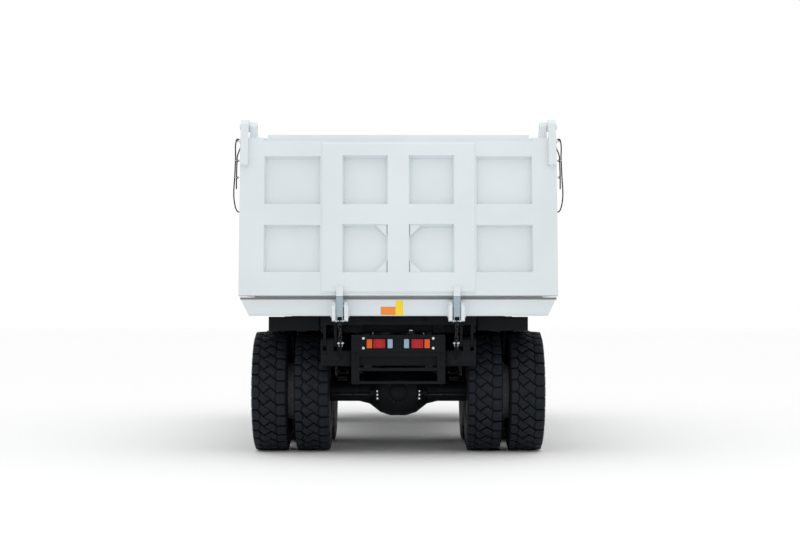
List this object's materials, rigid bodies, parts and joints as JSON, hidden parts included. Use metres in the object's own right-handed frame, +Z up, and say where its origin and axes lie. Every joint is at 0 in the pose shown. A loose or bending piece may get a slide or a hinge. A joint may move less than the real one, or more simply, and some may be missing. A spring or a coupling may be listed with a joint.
{
  "type": "wide-body mining dump truck",
  "caption": "Wide-body mining dump truck with twin rear wheels, offset cab, front telescopic hoist, tipping bed and a top-hung ribbed tailgate.",
  "frame": {"origin": "on the ground, at the middle of the truck's length and width", "axes": "+Z up, +Y towards the front of the truck, +X towards its right side"},
  "size_m": [3.502, 8.5998, 3.696],
  "materials": {
    "bed_white": "satin",
    "chassis_black": "satin",
    "cab_paint": "gloss",
    "axle_black": "matte",
    "spring_steel": "matte",
    "engine_grey": "matte",
    "rubber_tyre": "matte",
    "rim_grey": "satin",
    "rod_chrome": "polished",
    "bare_steel": "brushed",
    "lens_red": "gloss",
    "lens_clear": "gloss",
    "clear_glass": "gloss",
    "seat_black": "matte",
    "rail_yellow": "satin"
  },
  "bodies": {
    "chassis": {"frame_rails": "chassis_black", "tail_frame": "chassis_black", "tail_lamps": "lens_red", "hinge_seats": "chassis_black", "drive_axles": "axle_black", "leaf_springs": "spring_steel", "front_axle": "axle_black", "engine_block": "engine_grey", "prop_shafts": "axle_black", "radiator_grille": "chassis_black", "tanks": "chassis_black", "front_bumper": "chassis_black", "cross_members": "chassis_black", "headlamps": "lens_clear", "deck": "chassis_black", "deck_rails": "rail_yellow", "front_steps": "chassis_black", "cab_floor": "chassis_black", "cab_shell": "cab_paint", "cab_roof": "cab_paint", "cab_interior": "seat_black", "cab_glass": "clear_glass", "mirrors": "seat_black", "air_cleaner": "chassis_black"},
    "bed": {"bed_floor": "bed_white", "bed_side_left": "bed_white", "bed_side_right": "bed_white", "bed_front": "bed_white", "bed_subframe": "bed_white", "bed_guards": "chassis_black"},
    "tailgate": {"tailgate_panel": "bed_white", "tailgate_arms": "bed_white"},
    "hoist_barrel": {"hoist_barrel": "chassis_black"},
    "hoist_stage_1": {"hoist_stage_1": "rod_chrome"},
    "hoist_stage_2": {"hoist_stage_2": "rod_chrome"},
    "hoist_stage_3": {"hoist_stage_3": "rod_chrome"},
    "knuckle_left": {"knuckle_left": "axle_black"},
    "latch_left": {"latch_left": "bed_white"},
    "chain_left": {"chain_left": "bare_steel"},
    "door_left": {"door_left": "cab_paint", "door_glass_left": "clear_glass"},
    "wheel_front_left": {"tyre_front_left": "rubber_tyre", "rim_front_left": "rim_grey"},
    "wheels_middle_left": {"tyres_middle_left": "rubber_tyre", "rims_middle_left": "rim_grey"},
    "wheels_rear_left": {"tyres_rear_left": "rubber_tyre", "rims_rear_left": "rim_grey"},
    "knuckle_right": {"knuckle_right": "axle_black"},
    "latch_right": {"latch_right": "bed_white"},
    "chain_right": {"chain_right": "bare_steel"},
    "door_right": {"door_right": "cab_paint", "door_glass_right": "clear_glass"},
    "wheel_front_right": {"tyre_front_right": "rubber_tyre", "rim_front_right": "rim_grey"},
    "wheels_middle_right": {"tyres_middle_right": "rubber_tyre", "rims_middle_right": "rim_grey"},
    "wheels_rear_right": {"tyres_rear_right": "rubber_tyre", "rims_rear_right": "rim_grey"}
  },
  "joints": [
    {"name": "bed_tip", "type": "hinge", "parent": "chassis", "child": "bed", "pos_m": [0, -3.73, 1.26], "axis": [1, 0, 0], "range_deg": [0, 48]},
    {"name": "tailgate_swing", "type": "hinge", "parent": "bed", "child": "tailgate", "pos_m": [0, -3.8, 3.638], "axis": [-1, 0, 0], "range_deg": [0, 60]},
    {"name": "hoist_tilt", "type": "hinge", "parent": "chassis", "child": "hoist_barrel", "pos_m": [0, 1.7, 1.1], "axis": [1, 0, 0], "range_deg": [0, 30.5]},
    {"name": "hoist_slide_1", "type": "slide", "parent": "hoist_barrel", "child": "hoist_stage_1", "axis": [0, 0, 1], "range_m": [0, 1.43]},
    {"name": "hoist_slide_2", "type": "slide", "parent": "hoist_stage_1", "child": "hoist_stage_2", "axis": [0, 0, 1], "range_m": [0, 1.43]},
    {"name": "hoist_slide_3", "type": "slide", "parent": "hoist_stage_2", "child": "hoist_stage_3", "axis": [0, 0, 1], "range_m": [0, 1.43]},
    {"name": "steer_left", "type": "hinge", "parent": "chassis", "child": "knuckle_left", "pos_m": [-1.07, 2.42, 0.685], "axis": [0, 0, 1], "range_deg": [-35, 35]},
    {"name": "roll_front_left", "type": "hinge", "parent": "knuckle_left", "child": "wheel_front_left", "pos_m": [-1.32, 2.42, 0.685], "axis": [1, 0, 0], "continuous": true},
    {"name": "roll_middle_left", "type": "hinge", "parent": "chassis", "child": "wheels_middle_left", "pos_m": [-1.211, -1.48, 0.685], "axis": [1, 0, 0], "continuous": true},
    {"name": "roll_rear_left", "type": "hinge", "parent": "chassis", "child": "wheels_rear_left", "pos_m": [-1.211, -2.98, 0.685], "axis": [1, 0, 0], "continuous": true},
    {"name": "door_left_swing", "type": "hinge", "parent": "chassis", "child": "door_left", "pos_m": [-1.584, 3.482, 2.42], "axis": [0, 0, -1], "range_deg": [0, 70]},
    {"name": "latch_left_turn", "type": "hinge", "parent": "bed", "child": "latch_left", "pos_m": [-0.633, -4.24, 1.66], "axis": [1, 0, 0], "range_deg": [0, 15]},
    {"name": "chain_left_swing", "type": "hinge", "parent": "chassis", "child": "chain_left", "pos_m": [-0.633, -3.97, 1.22], "axis": [1, 0, 0], "range_deg": [0, 80]},
    {"name": "steer_right", "type": "hinge", "parent": "chassis", "child": "knuckle_right", "pos_m": [1.07, 2.42, 0.685], "axis": [0, 0, 1], "range_deg": [-35, 35]},
    {"name": "roll_front_right", "type": "hinge", "parent": "knuckle_right", "child": "wheel_front_right", "pos_m": [1.32, 2.42, 0.685], "axis": [1, 0, 0], "continuous": true},
    {"name": "roll_middle_right", "type": "hinge", "parent": "chassis", "child": "wheels_middle_right", "pos_m": [1.211, -1.48, 0.685], "axis": [1, 0, 0], "continuous": true},
    {"name": "roll_rear_right", "type": "hinge", "parent": "chassis", "child": "wheels_rear_right", "pos_m": [1.211, -2.98, 0.685], "axis": [1, 0, 0], "continuous": true},
    {"name": "door_right_swing", "type": "hinge", "parent": "chassis", "child": "door_right", "pos_m": [0.164, 3.482, 2.42], "axis": [0, 0, 1], "range_deg": [0, 70]},
    {"name": "latch_right_turn", "type": "hinge", "parent": "bed", "child": "latch_right", "pos_m": [0.633, -4.24, 1.66], "axis": [1, 0, 0], "range_deg": [0, 15]},
    {"name": "chain_right_swing", "type": "hinge", "parent": "chassis", "child": "chain_right", "pos_m": [0.633, -3.97, 1.22], "axis": [1, 0, 0], "range_deg": [0, 80]}
  ],
  "couplings": [
    {"joint": "hoist_tilt", "follows": "bed_tip", "ratio": 0.627},
    {"joint": "hoist_slide_1", "follows": "bed_tip", "m_per_rad": 1.7045},
    {"joint": "hoist_slide_2", "follows": "bed_tip", "m_per_rad": 1.7045},
    {"joint": "hoist_slide_3", "follows": "bed_tip", "m_per_rad": 1.7045},
    {"joint": "latch_left_turn", "follows": "bed_tip", "ratio": 0.3125},
    {"joint": "chain_left_swing", "follows": "bed_tip", "ratio": 1.625},
    {"joint": "latch_right_turn", "follows": "bed_tip", "ratio": 0.3125},
    {"joint": "chain_right_swing", "follows": "bed_tip", "ratio": 1.625},
    {"joint": "steer_right", "follows": "steer_left", "ratio": 1}
  ]
}
